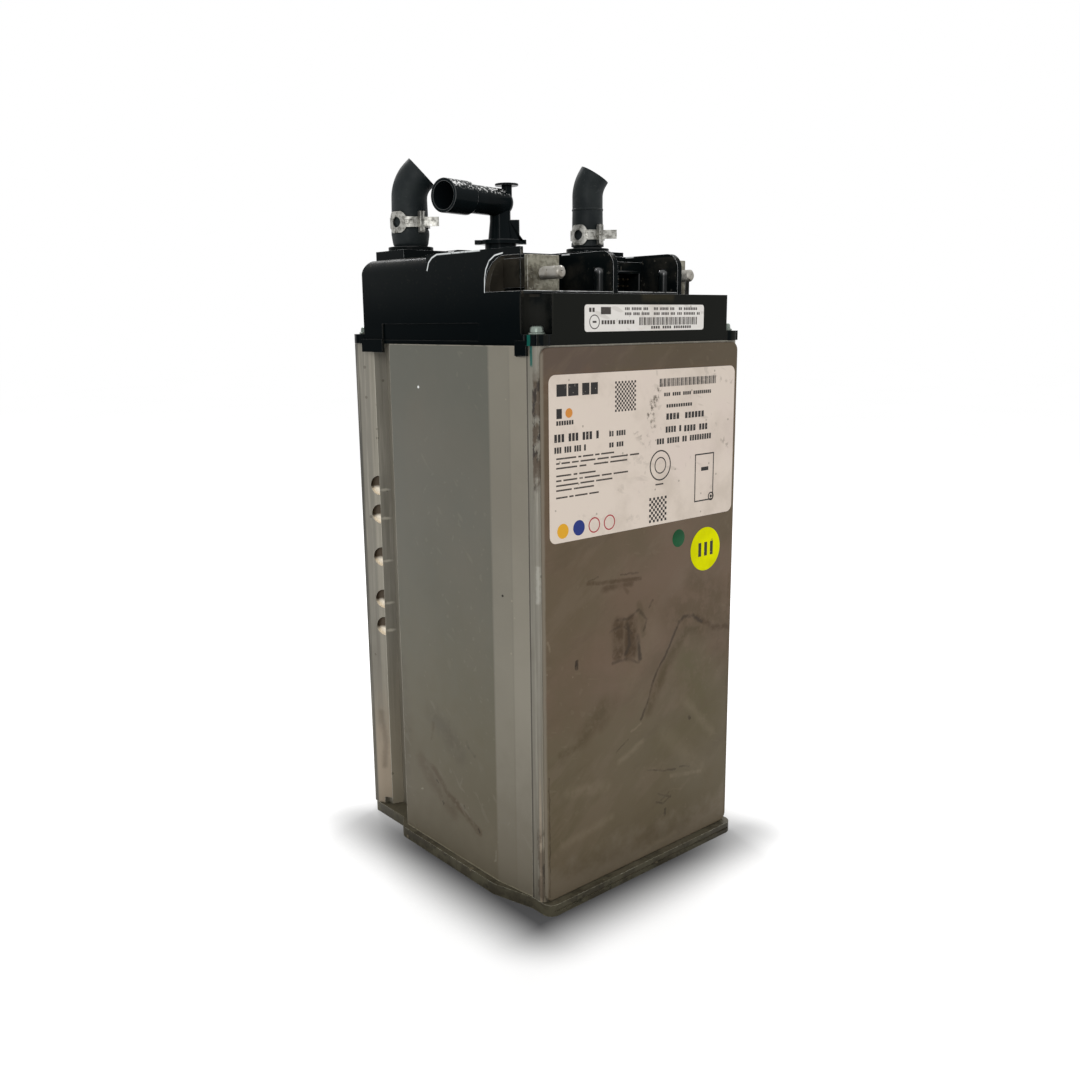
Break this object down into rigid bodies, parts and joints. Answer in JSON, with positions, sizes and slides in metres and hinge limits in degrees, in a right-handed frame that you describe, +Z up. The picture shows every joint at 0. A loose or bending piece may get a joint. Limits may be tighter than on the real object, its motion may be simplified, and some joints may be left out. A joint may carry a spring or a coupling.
{
  "type": "mild hybrid battery",
  "caption": "Liquid-cooled low-voltage hybrid vehicle battery: upright aluminium case, black moulded cover with stud terminals, connector, vent elbow and coolant hose stubs.",
  "frame": {"origin": "middle of the case's plan at the underside of the base plate", "axes": "+Z up, -Y out of the front face with the label, +X to the right seen from the front"},
  "size_m": [0.202, 0.214, 0.496],
  "materials": {
    "cast_black": "satin black cast tray",
    "housing_aluminium": "dusty extruded aluminium",
    "plate_grey": "dull grey-brown sheet with smudges",
    "zinc_steel": "zinc plated, slightly green",
    "stud_steel": "bright threaded steel",
    "clamp_steel": "worn spring band steel",
    "seal_rubber": "black",
    "black_plastic": "black, dusty in its corners",
    "vent_plastic": "glossy black",
    "connector_plastic": "dark grey",
    "pin_brass": "plain",
    "terminal_metal": "olive-grey, scratched",
    "hose_rubber": "black, satin",
    "label_film": "white film with fields of colour",
    "sticker_yellow": "yellow film",
    "cell_case": "blue film on aluminium",
    "spacer_plastic": "grey sheet",
    "link_aluminium": "bright",
    "carrier_plastic": "black",
    "inner_aluminium": "milled",
    "pad_rubber": "soft grey pad",
    "fuse_ceramic": "pale ceramic",
    "contactor_plastic": "black",
    "copper_bar": "copper",
    "shunt_plastic": "dark grey",
    "board_green": "green solder mask"
  },
  "bodies": {
    "root": {"base_plate": "cast_black", "base_screws": "zinc_steel", "board_standoffs": "pin_brass", "busbar_negative": "copper_bar", "busbar_positive": "copper_bar", "cell_01": "cell_case", "cell_02": "cell_case", "cell_03": "cell_case", "cell_04": "cell_case", "cell_05": "cell_case", "cell_06": "cell_case", "cell_07": "cell_case", "cell_08": "cell_case", "cell_09": "cell_case", "cell_10": "cell_case", "cell_11": "cell_case", "cell_12": "cell_case", "cell_13": "cell_case", "cell_14": "cell_case", "cell_links": "link_aluminium", "cell_spacers": "spacer_plastic", "clamp_inlet": "clamp_steel", "clamp_outlet": "clamp_steel", "cold_plate": "inner_aluminium", "connector_pins": "pin_brass", "contact_carrier": "carrier_plastic", "contactor": "contactor_plastic", "control_board": "board_green", "coolant_pipe_inlet": "inner_aluminium", "coolant_pipe_outlet": "inner_aluminium", "coolant_spigot_inlet": "black_plastic", "coolant_spigot_outlet": "black_plastic", "cover_screws": "zinc_steel", "cover_seal": "seal_rubber", "current_shunt": "shunt_plastic", "data_connector": "connector_plastic", "end_plate_lower": "inner_aluminium", "end_plate_upper": "inner_aluminium", "front_plate": "plate_grey", "fuse": "fuse_ceramic", "fuse_link": "copper_bar", "gap_pad": "pad_rubber", "hose_inlet": "hose_rubber", "hose_outlet": "hose_rubber", "housing": "housing_aluminium", "rating_label": "label_film", "riser_negative": "copper_bar", "riser_positive": "copper_bar", "round_sticker": "sticker_yellow", "side_plate_left": "plate_grey", "side_plate_right": "plate_grey", "small_label": "label_film", "stud_negative": "stud_steel", "stud_positive": "stud_steel", "terminal_plate_negative": "terminal_metal", "terminal_plate_positive": "terminal_metal", "tie_rods": "zinc_steel", "top_cover": "black_plastic", "vent_elbow": "vent_plastic", "vent_seal_ring": "seal_rubber"}
  },
  "joints": []
}
